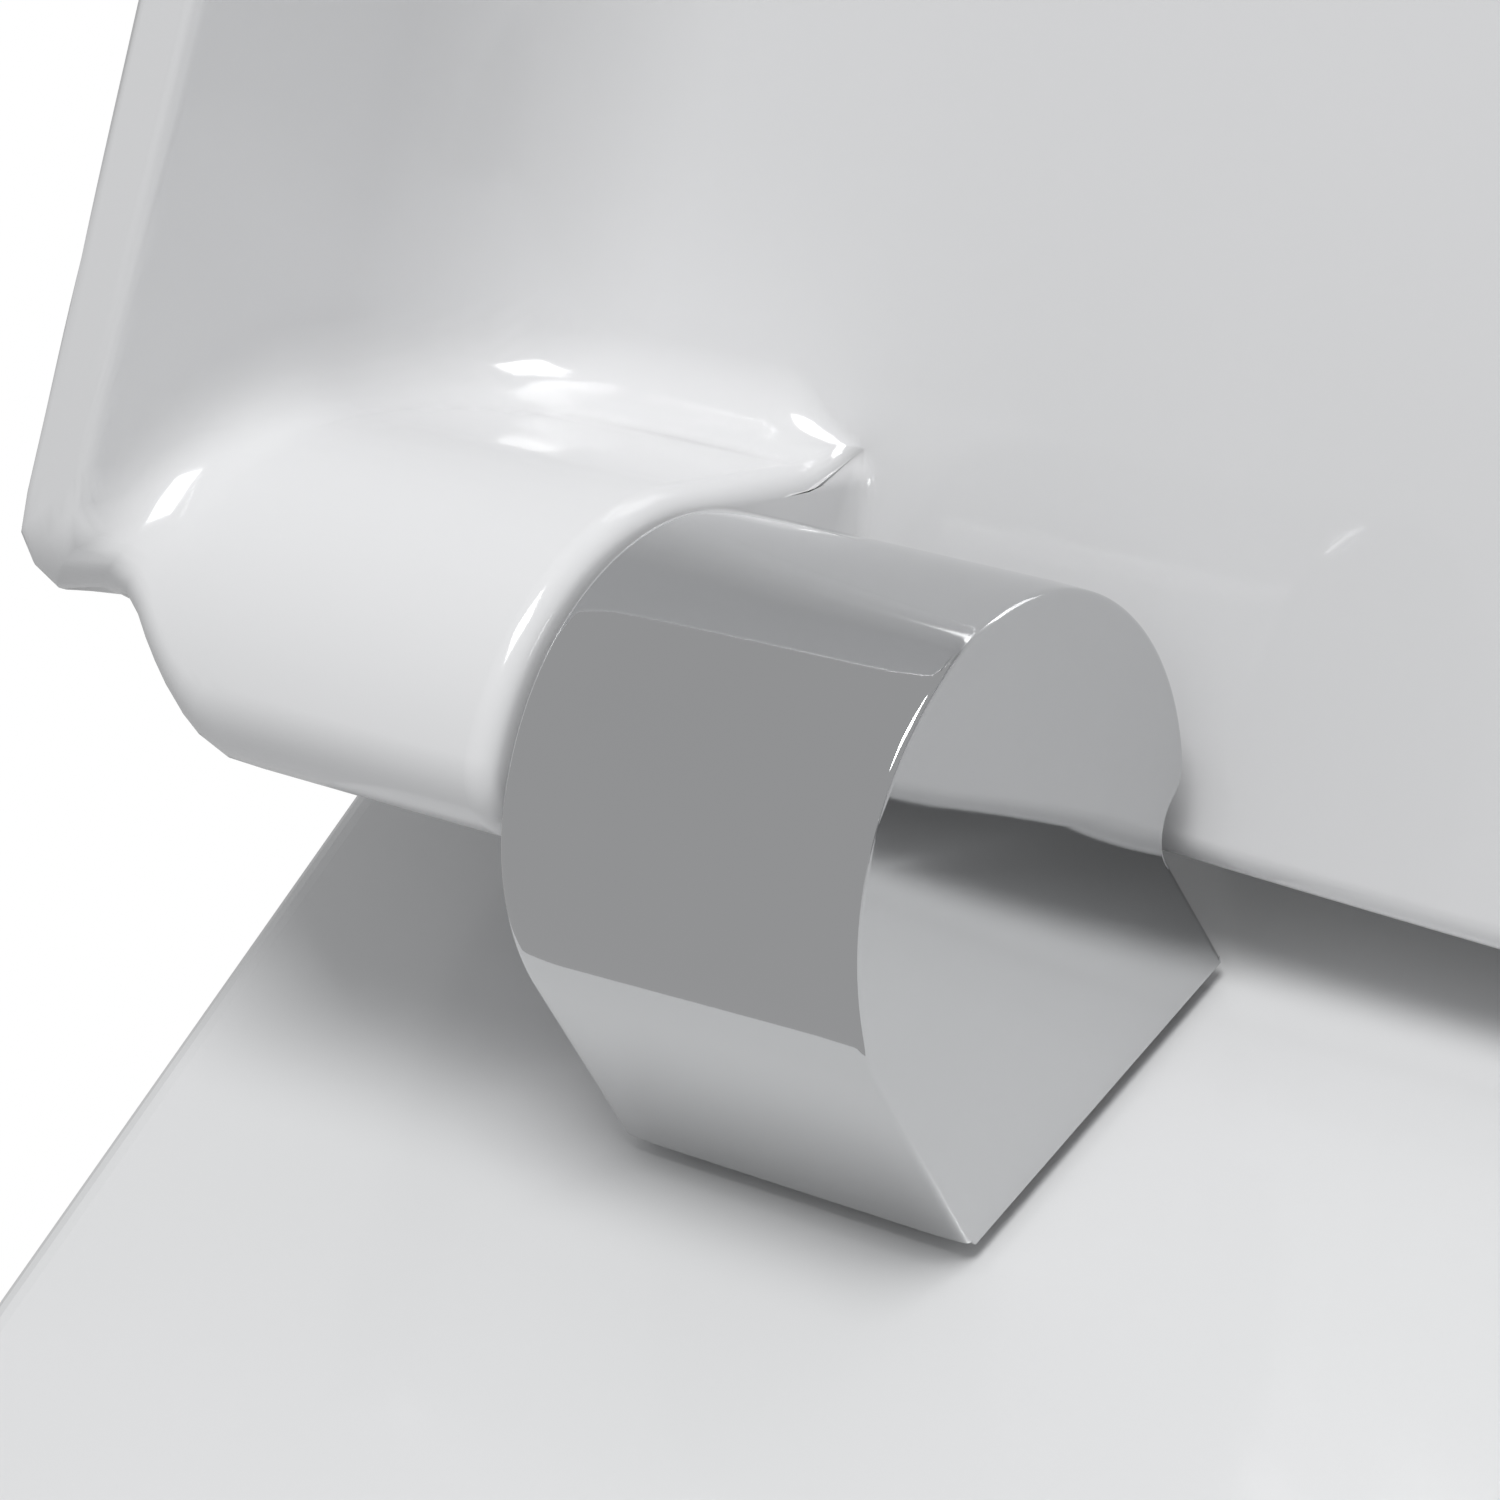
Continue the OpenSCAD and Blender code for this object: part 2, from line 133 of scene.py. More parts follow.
def lid_form(p):
    # Rough distance from the lid's surface, less than 0 inside the moulding
    x, y, z = np.abs(p[..., 0]), p[..., 1], p[..., 2]
    depth = depth_in(x, y)

    def crown(start):
        return crown_rise * np.clip(1 - (depth - start) / crown_run, 0, 1) ** 2

    shell = round_max(-depth, z - (lid_top - crown(top_round)), top_round)
    shell = round_max(shell, -rim_drop - z, lip_round)
    ceiling = lid_top - panel_wall - crown(rim_width + fillet)
    hollow = round_max(rim_width - depth, z - ceiling, fillet)
    shell = round_max(shell, -hollow, lip_round)
    edge = back_edge(x)
    lean = np.clip((lean_from - z) / (lean_from + rim_drop), 0, 1)
    behind = lean_share * (y - edge + lean * (edge + lean_foot))
    shell = round_max(shell, behind, edge_round + end_round * ease((x - end_from) / end_run))
    nose = np.where(z < 0, np.hypot(y, z), -y) - lug_r
    fall = fall_depth * ease((x - lug_face - fall_from) / fall_run)
    low = (y + fall) * math.cos(low_slope) - z * math.sin(low_slope) - lug_back
    high = (y + fall) * math.cos(high_slope) + z * math.sin(high_slope) - lug_back
    lug = round_max(nose, round_max(low, high, back_round), nose_round)
    lug = round_max(lug, x - half_width + outer_gap, outer_round)
    lug = round_max(lug, lug_face - x, face_round)
    lug = np.maximum(lug, z - lid_top + lug_sink)
    return round_min(shell, lug, root_round + root_growth * ease((x - lug_face) / root_run))


def lid_normal(p, offset=0.02):
    # The direction in which the distance from the moulding grows
    grad = np.empty_like(p)
    for k in range(3):
        step = np.zeros(3)
        step[k] = offset
        grad[..., k] = (lid_form(p + step) - lid_form(p - step)) / (2 * offset)
    return grad


def march(start, way, inside=True, steps=110, longest=6, share=0.75):
    # Moves points along their ways to where the moulding's surface is met
    p = start.copy()
    for _ in range(steps):
        away = lid_form(p)
        p += way * np.clip(-away if inside else away, 0, longest)[..., None] * share
    return p


# Stations go round the right half of the lid: along the back edge, round the back corner, down the side,
# round the front corner and to the middle of the front. Each has a foot inside, a way out, its own x on
# the back edge, and how far it is raised from the plain panel to a wall or lug.
foot_x, foot_y = 118.0, -36.0
foot_depth = float(depth_in(np.array(foot_x), np.array(foot_y)))
even_to, even_n, rising_n, beyond_n, corner_n, side_n, front_n = 100, 18, 10, 7, 43, 46, 16
plain = list(np.linspace(0, even_to, even_n))
plain += [102.5, 104.5, 106.2, 107.6, 108.7, 109.5, 110.1, 110.6, 110.95]
rising = list(np.linspace(0, 1, rising_n + 2)[1:-1])
end_turn = [8, 25, 42, 58, 74, 90]
face_turn = [0.0] * rising_n + end_turn
rounded = [lug_face + face_round * (1 - math.cos(math.radians(a))) for a in end_turn]
beyond = list(np.linspace(lug_face + 2.4, foot_x, beyond_n))
whole = len(plain) + len(face_turn)
at_x = plain + [lug_face] * rising_n + rounded + beyond
leg = [0.0] * len(plain) + rising + [1.0] * (len(rounded) + len(beyond))
straight, last = 12, len(at_x) - 1
stations = []
for i, x in enumerate(at_x):
    spread = (foot_x - at_x[straight]) * (i - straight) / (last - straight)
    stations.append((x if i < straight else at_x[straight] + spread, foot_y, 0.0, 1.0, x, leg[i]))
corner_a = len(stations) - 1
for a in np.linspace(90, -side_turn, corner_n + 1)[1:]:
    c, s = math.cos(math.radians(a)), math.sin(math.radians(a))
    stations.append((foot_x, foot_y, c, s, None, 1.0))
run = (foot_x - corner_x) * side_x + (foot_y - corner_y) * taper
for i in range(1, side_n + 1):
    d = run * i / side_n
    stations.append((foot_x - d * side_x, foot_y - d * taper, taper, -side_x, None, 1.0))
bend_n = 2 * (corner_a - front_n)
mid = len(stations) - 1 + bend_n // 2
bend_r = corner - foot_depth
for i in range(1, bend_n + 1):
    a = math.radians(-side_turn - (90 - side_turn) * i / bend_n)
    c, s = math.cos(a), math.sin(a)
    stations.append((corner_x + bend_r * c, corner_y + bend_r * s, c, s, None, 1.0))
for i in range(1, front_n + 1):
    stations.append((corner_x * (1 - i / front_n), foot_depth - lid_reach, 0.0, -1.0, None, 1.0))
foot = np.array([(s[0], s[1], 0.0) for s in stations])
way = np.array([(s[2], s[3], 0.0) for s in stations])
raised = np.array([s[5] for s in stations])
line_x = np.array([s[0] if s[4] is None else s[4] for s in stations])
is_x = np.array([s[4] is not None for s in stations])
foot_line = foot.copy()
foot_line[is_x, 0] = line_x[is_x]
count = len(stations)


def walls(z):
    # Where a level line meets the wall or lug from inside the hollow and from outside
    a, b = foot_line.copy(), foot_line + way * 90
    a[:, 2] = b[:, 2] = z
    a, b = march(a, way, False), march(b, -way, False)
    return ((a - foot_line) * way)[:, :2].sum(1), ((b - foot_line) * way)[:, :2].sum(1)


high_z, low_z, mid_z = 12.0, -12.0, lid_top - 4.2
brink_in, bend_in, bend_gap = 2.5, 23.0, 0.6
standing = raised == 1.0
in_high, out_high = walls(10.0)
in_low, out_low = walls(-11.0)
in_top, _ = walls(13.0)
for found in (in_high, out_high, in_low, out_low, in_top):
    found[len(plain):whole] = found[whole]
panel_end = back_edge(line_x) - foot_y
brink = panel_end - brink_in
t_low = np.where(standing, (in_low + out_low) / 2, brink)
t_top = np.where(standing, (in_high + out_high) / 2, brink)
near_lug = ease((line_x - even_to) / (lug_face - even_to))
bend = np.where(standing, in_top, (panel_end - bend_in) * (1 - near_lug) + in_top[whole] * near_lug)
# Rays from each station's middle line: over the panel, round its edge, down the outer side, round the
# rim's or lug's underside, up the inner side, and along the panel's inner face back to the foot
over_n, turn_n, down_n, up_n, in_n = 16, 10, 16, 16, 30
tips = [-4, -14, -26, -36, -44, -50, -54, -58, -62, -68, -76, -90, -104, -112, -118, -122, -126, -130,
        -136, -144, -154, -166, -176]
round_rays = [("turn", 90 - 90 * (k + 0.5) / turn_n) for k in range(turn_n)]
round_rays += [("down", (k + 0.5) / down_n) for k in range(down_n)]
round_rays += [("tip", a) for a in tips]
round_rays += [("rise", 1 - (k + 0.5) / up_n) for k in range(up_n)]
rays = [("up", k / over_n) for k in range(over_n)] + round_rays
rays += [("in", k / in_n) for k in range(in_n + 1)]
tall = np.empty((len(rays), count, 3))
flat = np.empty((len(rays), count, 3))
shift = (line_x - foot[:, 0]) * is_x
round_edge, edge_share, floor_share = 180, 0.4, 0.62


def on_panel(t, far, up):
    # The panel's outer or inner face, at t from the feet, which spread to their own x towards far
    p = foot + way * t[:, None]
    p[:, 2] = mid_z
    p[:, 0] += shift * ease(t / far)
    heading = np.zeros_like(p)
    heading[:, 2] = up
    return march(p, heading)


def on_section(t, z, degrees):
    # Where a ray that leaves at t and z in a station's upright plane meets the surface
    p = foot_line + way * t[:, None]
    p[:, 2] = z
    heading = way * math.cos(math.radians(degrees))
    heading[:, 2] = math.sin(math.radians(degrees))
    return march(p, heading)


for j, (kind, u) in enumerate(rays):
    if kind == "up":
        tall[j] = on_panel(t_top * u, t_top, 1)
        flat[j] = on_panel(brink * u, t_top, 1)
        continue
    if kind == "in":
        tall[j] = flat[j] = on_panel((bend - bend_gap) * (1 - u) ** 1.35, bend - bend_gap, -1)
        continue
    if kind == "turn":
        tall[j] = on_section(t_top, high_z, u)
    elif kind == "down":
        tall[j] = on_section(t_top + (t_low - t_top) * u, high_z + (low_z - high_z) * u, 0.0)
    elif kind == "tip":
        tall[j] = on_section(t_low, low_z, u)
    else:
        t = t_low + (t_top - t_low) * (1 - u)
        tall[j] = on_section(t, low_z + (high_z - low_z) * (1 - u), -180.0)
    # The same ray on the plain panel, which has no wall: round its back edge, then down from its middle
    v = (j - over_n) / (len(round_rays) - 1)
    if v < edge_share:
        flat[j] = on_section(brink, mid_z, 90 - round_edge * v / edge_share)
    else:
        flat[j] = on_section(brink - (brink - bend) * (v - edge_share) / floor_share, mid_z, -90)
    # By the lug's end face the ray can't tell its way, so the section a little further in is used
    inset = lid_normal(tall[j, whole]) * np.array([0, 1, 1])
    inset /= max(np.linalg.norm(inset), 1e-6)
    for i, degrees in enumerate(face_turn, len(plain)):
        a = math.radians(degrees)
        tall[j, i] = tall[j, whole] - inset * face_round * (1 - math.sin(a))
        tall[j, i, 0] = lug_face + face_round * (1 - math.cos(a))
skin = flat + (tall - flat) * raised[None, :, None]


def settle(p, turns=4):
    # Brings points that are close to the moulding's surface onto it
    for _ in range(turns):
        grad = lid_normal(p)
        p = p - grad * (lid_form(p) / np.maximum((grad ** 2).sum(-1), 0.2))[..., None]
    return p


def add_patch(bm, points):
    # A grid laid over rows and columns of points
    rows, columns = points.shape[:2]
    made = bmesh.ops.create_grid(bm, x_segments=columns - 1, y_segments=rows - 1, size=1)["verts"]
    for v in made:
        i = round((v.co.x + 1) / 2 * (columns - 1))
        j = round((v.co.y + 1) / 2 * (rows - 1))
        v.co = points[j, i]


def add_object(bm, name):
    # A new object in the scene with the mesh that was built
    data = bpy.data.meshes.new(name)
    bm.to_mesh(data)
    bm.free()
    made = bpy.data.objects.new(name, data)
    bpy.context.scene.collection.objects.link(made)
    return made


# The rows that are raised in part, by the lug's end face, stay as they are and lie a little off the surface
partly = (raised > 0.02) & (raised < 0.98)
skin = np.where(partly[None, :, None], skin, settle(skin))
lid_mesh = bmesh.new()
add_patch(lid_mesh, skin)
# The middle of the panel, inside and outside, between the stations' feet
spans = (
    np.arange(corner_a + 1), np.arange(corner_a + corner_n, mid + 1), np.arange(count - 1, mid - 1, -1)
)
for edge, up in ((skin[-1], -1.0), (skin[0], 1.0)):
    base, right, front = edge[spans[0]], edge[spans[1]], edge[spans[2]]
    u = np.linspace(0, 1, len(base))[None, :, None]
    v = np.linspace(0, 1, len(right))[:, None, None]
    left = base[0] + (front[0] - base[0]) * v[:, 0]
    patch = (
        (1 - v) * base[None] + v * front[None] + (1 - u) * left[:, None] + u * right[:, None]
        - (1 - u) * (1 - v) * base[0] - u * (1 - v) * base[-1] - (1 - u) * v * front[0] - u * v * front[-1]
    )
    inner = patch[1:-1, :-1].copy()
    inner[..., 2] = mid_z
    heading = np.zeros_like(inner)
    heading[..., 2] = up
    patch[1:-1, :-1] = march(inner, heading)
    add_patch(lid_mesh, patch)
bmesh.ops.remove_doubles(lid_mesh, verts=lid_mesh.verts, dist=0.004)
half = lid_mesh.verts[:] + lid_mesh.edges[:] + lid_mesh.faces[:]
bmesh.ops.mirror(lid_mesh, geom=half, matrix=Matrix.Identity(4), merge_dist=0.003, axis="X")
bmesh.ops.transform(lid_mesh, matrix=place, verts=lid_mesh.verts)
bmesh.ops.recalc_face_normals(lid_mesh, faces=lid_mesh.faces)
lid = add_object(lid_mesh, "lid_moulding")


def combine(obj, tool, operation):
    # Joins a temporary solid to a piece, or cuts it from it, and keeps the result as the piece's own mesh
    cutter = add_object(tool, "tool")
    cutter_mesh = cutter.data
    step = obj.modifiers.new("step", "BOOLEAN")
    step.operation, step.object, step.solver = operation, cutter, "EXACT"
    graph = bpy.context.evaluated_depsgraph_get()
    made = bpy.data.meshes.new_from_object(obj.evaluated_get(graph))
    obj.modifiers.clear()
    old, name = obj.data, obj.data.name
    obj.data = made
    bpy.data.meshes.remove(old)
    made.name = name
    bpy.data.objects.remove(cutter)
    bpy.data.meshes.remove(cutter_mesh)


def rod(bm, r, length, matrix, segments=64):
    # Round bar from the matrix's origin along its z
    return bmesh.ops.create_cone(
        bm, cap_ends=True, segments=segments, radius1=r, radius2=r, depth=length,
        matrix=matrix @ Matrix.Translation((0, 0, length / 2))
    )["verts"]


def on_hinge(x, side):
    # A place on the hinge line at x, whose z runs out along the line on that side
    turned = Matrix.Translation((side * x, axis.y, axis.z)) @ Matrix.Rotation(math.radians(90), 4, "Y")
    return turned @ Matrix.Rotation(math.pi, 4, "X") if side < 0 else turned


# Pads in the rim for the four buffers, flat on their outer side so that they stay within the rim
pad_r, pad_neck, pad_tip, tip_share, flat_at, seam = 5.5, 8.5, 4.5, 0.2, 3.4, 0.02
stem_r, socket_l = 2.05, 8.3
pad_spots = [(117.2, -120.0, taper, -side_x), (30.0, 4.3 - lid_reach, 0.0, -1.0)]
pads, sockets = bmesh.new(), bmesh.new()
for px, py, ox, oy in pad_spots:
    for side in (-1, 1):
        made = rod(pads, pad_r, pad_neck, Matrix.Translation((side * px, py, -rim_drop + seam)))
        cone_at = Matrix.Translation((side * px, py, pad_neck - rim_drop + seam))
        top = [v for v in made if v.co.z > pad_neck - rim_drop - 0.1]
        cap = [f for f in pads.faces if all(v in top for v in f.verts)]
        raised_cap = bmesh.ops.extrude_face_region(pads, geom=cap)["geom"]
        tip = [g for g in raised_cap if isinstance(g, bmesh.types.BMVert)]
        bmesh.ops.delete(pads, geom=cap, context="FACES_ONLY")
        bmesh.ops.scale(pads, vec=(tip_share, tip_share, 1), space=cone_at.inverted(), verts=tip)
        bmesh.ops.translate(pads, vec=(0, 0, pad_tip), verts=tip)
        for v in made + tip:
            outward = (v.co.x - side * px) * side * ox + (v.co.y - py) * oy
            too_far = max(0.0, outward - flat_at)
            v.co.x -= too_far * side * ox
            v.co.y -= too_far * oy
        rod(sockets, stem_r, socket_l + 1, Matrix.Translation((side * px, py, -rim_drop - 1)), 48)
bmesh.ops.transform(pads, matrix=place, verts=pads.verts)
bmesh.ops.transform(sockets, matrix=place, verts=sockets.verts)
combine(lid, pads, "UNION")
# Each lug's bore for its bush and the recess for the bush's flange, in m, cut from 1 mm before its face
bore_r, bore_l, flange_r, flange_l = 0.00408, 0.0255, 0.00508, 0.0019
recess = bmesh.new()
for side in (-1, 1):
    rod(sockets, bore_r, bore_l, on_hinge((lug_face - 1) / 1000, side), 96)
    rod(recess, flange_r, flange_l, on_hinge((lug_face - 1) / 1000, side), 96)
combine(lid, sockets, "DIFFERENCE")
combine(lid, recess, "DIFFERENCE")
lid.data.shade_smooth()
lid.data.set_sharp_from_angle(angle=math.radians(40))
# Only the cut edges stay sharp: those of the bores, the sockets and the pads' feet
sharp = lid.data.attributes["sharp_edge"]
lid_at = np.array([unplace @ v.co for v in lid.data.vertices])
for edge in lid.data.edges:
    ex, ey, ez = lid_at[edge.vertices[0]]
    in_bore = math.hypot(ey, ez) < 5.2 and abs(ex) > lug_face - 0.1
    by_pad = min(math.hypot(abs(ex) - s[0], ey - s[1]) for s in pad_spots) < 6
    if not (in_bore or by_pad):
        sharp.data[edge.index].value = False
# The surface's own direction shades the moulding, so that the narrow faces by the lug's end show less
corners_n = len(lid.data.loops)
way_out = lid_normal(lid_at)
way_out /= np.maximum(np.linalg.norm(way_out, axis=1), 1e-6)[:, None]
way_out = way_out @ np.array(shut.to_3x3()).T
shaded = np.empty(corners_n * 3)
lid.data.corner_normals.foreach_get("vector", shaded)
shaded = shaded.reshape(-1, 3)
at_vertex = np.empty(corners_n, dtype=int)
lid.data.loops.foreach_get("vertex_index", at_vertex)
agree = (shaded * way_out[at_vertex]).sum(1) > 0.2
far_from_cuts = np.hypot(lid_at[:, 1], lid_at[:, 2]) > 5.4
for spot in pad_spots:
    far_from_cuts &= np.hypot(np.abs(lid_at[:, 0]) - spot[0], lid_at[:, 1] - spot[1]) > 7
on_form = np.abs(lid_form(lid_at)) < np.where(far_from_cuts, 0.3, 0.02)
use = on_form[at_vertex] & agree
shaded[use] = way_out[at_vertex][use]
lid.data.normals_split_custom_set(shaded.tolist())
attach(lid, "cover")
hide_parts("lid")


def finish(
    name, low, high, rough, metal=0.0, grain=900.0, relief=0.1, coat=0.0, cloud=30.0, stretch=(1, 1, 1)
):
    # A finish that varies softly in colour, and in gloss and relief with a fine grain
    made = bpy.data.materials.new(name)
    made.use_nodes = True
    tree = made.node_tree
    shader = tree.nodes["Principled BSDF"]
    shader.inputs["Metallic"].default_value = metal
    shader.inputs["Coat Weight"].default_value = coat
    shader.inputs["Coat Roughness"].default_value = 0.04
    coords = tree.nodes.new("ShaderNodeTexCoord")
    spread = tree.nodes.new("ShaderNodeMapping")
    spread.inputs["Scale"].default_value = stretch
    tree.links.new(coords.outputs["Object"], spread.inputs["Vector"])
    fine = tree.nodes.new("ShaderNodeTexNoise")
    fine.inputs["Scale"].default_value = grain
    fine.inputs["Detail"].default_value = 5
    soft = tree.nodes.new("ShaderNodeTexNoise")
    soft.inputs["Scale"].default_value = cloud
    soft.inputs["Detail"].default_value = 3
    tint = tree.nodes.new("ShaderNodeMix")
    tint.data_type = "RGBA"
    tint.inputs["A"].default_value = (*low, 1)
    tint.inputs["B"].default_value = (*high, 1)
    gloss = tree.nodes.new("ShaderNodeMapRange")
    gloss.inputs["To Min"].default_value, gloss.inputs["To Max"].default_value = rough
    bump = tree.nodes.new("ShaderNodeBump")
    bump.inputs["Strength"].default_value = relief
    bump.inputs["Distance"].default_value = 0.00005
    for noise in (fine, soft):
        tree.links.new(spread.outputs["Vector"], noise.inputs["Vector"])
    tree.links.new(soft.outputs["Fac"], tint.inputs["Factor"])
    tree.links.new(tint.outputs["Result"], shader.inputs["Base Color"])
    tree.links.new(fine.outputs["Fac"], gloss.inputs["Value"])
    tree.links.new(gloss.outputs["Result"], shader.inputs["Roughness"])
    tree.links.new(fine.outputs["Fac"], bump.inputs["Height"])
    tree.links.new(bump.outputs["Normal"], shader.inputs["Normal"])
    return made


def dress(obj, material):
    obj.data.materials.clear()
    obj.data.materials.append(material)


dress(lid, finish(
    "lid_white", (0.78, 0.785, 0.79), (0.80, 0.80, 0.81), (0.10, 0.16), grain=500, relief=0.03, coat=0.3
))


# The hinge posts: zinc castings, polished and chromed. Each has a round barrel on the hinge axis, a notch
# behind it and a foot that flares to the deck. Polishing rounds the edges. Hollow below, with two bosses.
def arc(centre, r, start, stop, n):
    turns = np.radians(np.linspace(start, stop, n + 1))
    return [(centre[0] + r * math.cos(a), centre[1] + r * math.sin(a)) for a in turns]


def touch(point, r, side):
    # Angle at which a line from the point touches a circle about the origin
    return math.degrees(math.atan2(point[1], point[0]) + side * math.acos(r / math.hypot(*point)))


# The profile in mm from the hinge axis: the foot's front and back, the notch, and the lip above it
barrel_r = barrel * 1000
foot_z = (post_low.z - axis.z) * 1000
toe, heel = -11.9, 15.4
notch, notch_r, lip_r = (0.93 * barrel_r, -0.49 * barrel_r), 2.7, 2.6
near_d, far_d = barrel_r - lip_r, lip_r + notch_r
notch_d = math.hypot(*notch)
along = (near_d ** 2 - far_d ** 2 + notch_d ** 2) / (2 * notch_d)
aside = math.sqrt(near_d ** 2 - along ** 2)
unit = (notch[0] / notch_d, notch[1] / notch_d)
lip = (along * unit[0] - aside * unit[1], along * unit[1] + aside * unit[0])
lip_start = math.degrees(math.atan2(lip[1], lip[0]))
lip_end = math.degrees(math.atan2(notch[1] - lip[1], notch[0] - lip[0]))
front_touch = touch((toe, foot_z), barrel_r, -1) % 360
flare = touch((heel - notch[0], foot_z - notch[1]), notch_r, -1) % 360
outline = arc((0, 0), barrel_r, front_touch, lip_start, 120)
outline += arc(lip, lip_r, lip_start, lip_end, 12)[1:]
outline += arc(notch, notch_r, lip_end + 180, flare, 14)[1:]
flare_top = outline[-1]


def bend_at(before, at, after, size=0.45, n=4):
    # A small rounding where two straight lines meet
    def step(a, b):
        d = math.hypot(b[0] - a[0], b[1] - a[1])
        return (a[0] + (b[0] - a[0]) * size / d, a[1] + (b[1] - a[1]) * size / d)

    first, final = step(at, before), step(at, after)
    rounding = []
    for u in np.linspace(0, 1, n + 1):
        shares = (1 - u) ** 2, 2 * u * (1 - u), u * u
        rounding.append(tuple(
            shares[0] * a + shares[1] * b + shares[2] * c for a, b, c in zip(first, at, final)
        ))
    return rounding


outline += bend_at(flare_top, (heel, foot_z), (toe, foot_z))
outline += bend_at((heel, foot_z), (toe, foot_z), outline[0])
outline = np.array(outline)
tangent = np.roll(outline, -1, 0) - np.roll(outline, 1, 0)
inward = np.stack([tangent[:, 1], -tangent[:, 0]], 1)
inward /= np.linalg.norm(inward, axis=1)[:, None]
inward[(np.abs(outline[:, 1] - foot_z) < 1e-6), 1] = 0
# Polishing takes a little off the castings near their ends and rounds the end edges
width = (post_high.x - post_low.x) * 1000
end_r, worn_depth, worn_run = 0.45, 0.10, 3.2
near_steps = [end_r * (1 - math.cos(math.radians(a))) for a in range(0, 91, 13)]
near_steps += [0.7, 1.0, 1.4, 1.9, 2.5, worn_run, 6, 9.5]
across_post = near_steps + [width / 2] + [width - d for d in near_steps[::-1]]
rings = []
for d in across_post:
    near_end = min(d, width - d)
    worn = worn_depth * max(0, 1 - near_end / worn_run) ** 2
    worn += end_r * (1 - math.sqrt(max(0, 1 - max(0, 1 - near_end / end_r) ** 2)))
    ring = outline + inward * worn
    rings.append(np.concatenate([ring, ring[:1]]))
to_row = Matrix.Translation(axis) @ Matrix.Scale(0.001, 4)
# Hollow, bosses and bores in m: the stud's in the middle, the grub screw's by the lug and below the pin
pocket_size, pocket_y, pocket_round = (0.019, 0.0213, 0.010), 0.00175, 0.0015
stud_boss_r, screw_boss_r, boss_h, below = 0.006, 0.0043, 0.0083, 0.002
stud_r, stud_deep, screw_r, screw_deep = 0.00363, 0.01103, 0.00253, 0.0203
pin_r, pin_l, pin_deep, screw_in = 0.00303, 0.020, 0.01803, 0.0042
base_z = post_low.z - below
chrome = finish(
    "post_chrome", (0.60, 0.605, 0.61), (0.64, 0.645, 0.65), (0.035, 0.06), 1, 700, 0.02, cloud=40
)
for side, name in ((-1, "left"), (1, "right")):
    casting = bmesh.new()
    rows = [
        [(side * ((-post_high.x) * 1000 + d), p[0], p[1]) for p in ring]
        for d, ring in zip(across_post, rings)
    ]
    add_patch(casting, np.array(rows))
    bmesh.ops.remove_doubles(casting, verts=casting.verts, dist=1e-4)
    rims = [e for e in casting.edges if len(e.link_faces) == 1]
    bmesh.ops.holes_fill(casting, edges=rims, sides=0)
    bmesh.ops.recalc_face_normals(casting, faces=casting.faces)
    bmesh.ops.transform(casting, matrix=to_row, verts=casting.verts)
    post = add_object(casting, "post_casting_" + name)
    stud_x = side * (post_low.x + post_high.x) / -2
    screw_x = side * (-post_low.x - screw_in)
    pocket = bmesh.new()
    bmesh.ops.create_cube(pocket, size=1)
    bmesh.ops.scale(pocket, vec=pocket_size, verts=pocket.verts)
    upright_edges = [e for e in pocket.edges if abs(e.verts[0].co.z - e.verts[1].co.z) > 0.005]
    bmesh.ops.bevel(
        pocket, geom=upright_edges, offset=pocket_round, affect="EDGES", segments=5, profile=0.5, material=-1
    )
    pocket_at = (stud_x, pocket_y, base_z + pocket_size[2] / 2)
    bmesh.ops.translate(pocket, vec=pocket_at, verts=pocket.verts)
    combine(post, pocket, "DIFFERENCE")
    for boss_r, boss_x in ((stud_boss_r, stud_x), (screw_boss_r, screw_x)):
        boss = bmesh.new()
        rod(boss, boss_r, boss_h, Matrix.Translation((boss_x, 0, post_low.z)))
        combine(post, boss, "UNION")
    bores = bmesh.new()
    rod(bores, stud_r, stud_deep, Matrix.Translation((stud_x, 0, base_z)))
    rod(bores, screw_r, screw_deep, Matrix.Translation((screw_x, 0, base_z)))
    combine(post, bores, "DIFFERENCE")
    pin_bore = bmesh.new()
    rod(pin_bore, pin_r, pin_l, on_hinge(-post_low.x - pin_deep, side))
    combine(post, pin_bore, "DIFFERENCE")
    post.data.shade_smooth()
    post.data.set_sharp_from_angle(angle=math.radians(28))
    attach(post, "posts")
    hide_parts("hinge_post_" + name)
    dress(post, chrome)


# The small pieces, whose solids come as they are: turned steel pins, blackened grub screws, zinc plated
# studs and washers, nylon bushes and wing nuts, and elastomer gaskets, cones and buffers.
steel = finish(
    "turned_steel", (0.42, 0.42, 0.43), (0.5, 0.5, 0.51), (0.22, 0.34), 1, 2500, 0.3, 0, 60, (6, 1, 1)
)
black_steel = finish("black_steel", (0.03, 0.03, 0.032), (0.06, 0.06, 0.062), (0.35, 0.5), 1, 1800, 0.3)
zinc = finish("zinc_plate", (0.45, 0.45, 0.44), (0.56, 0.57, 0.58), (0.25, 0.42), 1, 1500, 0.35, cloud=220)
rubber = finish("rubber", (0.018, 0.018, 0.018), (0.032, 0.032, 0.031), (0.62, 0.78), 0, 1600, 0.6)
pale_rubber = finish("buffer_rubber", (0.42, 0.42, 0.41), (0.5, 0.5, 0.49), (0.55, 0.7), 0, 1800, 0.5)
nylon = finish("nylon", (0.52, 0.52, 0.49), (0.6, 0.6, 0.57), (0.38, 0.5), 0, 1200, 0.4)
looks = {
    "hinge_pin": steel, "hinge_bush": nylon, "pin_screw": black_steel, "base_gasket": rubber,
    "mounting_stud": zinc, "cone_washer": rubber, "flat_washer": zinc, "wing_nut": nylon,
    "buffer_front": pale_rubber, "buffer_side": pale_rubber,
}
for stem, look in looks.items():
    for hand in ("left", "right"):
        dress(nodes[stem + "_" + hand], look)


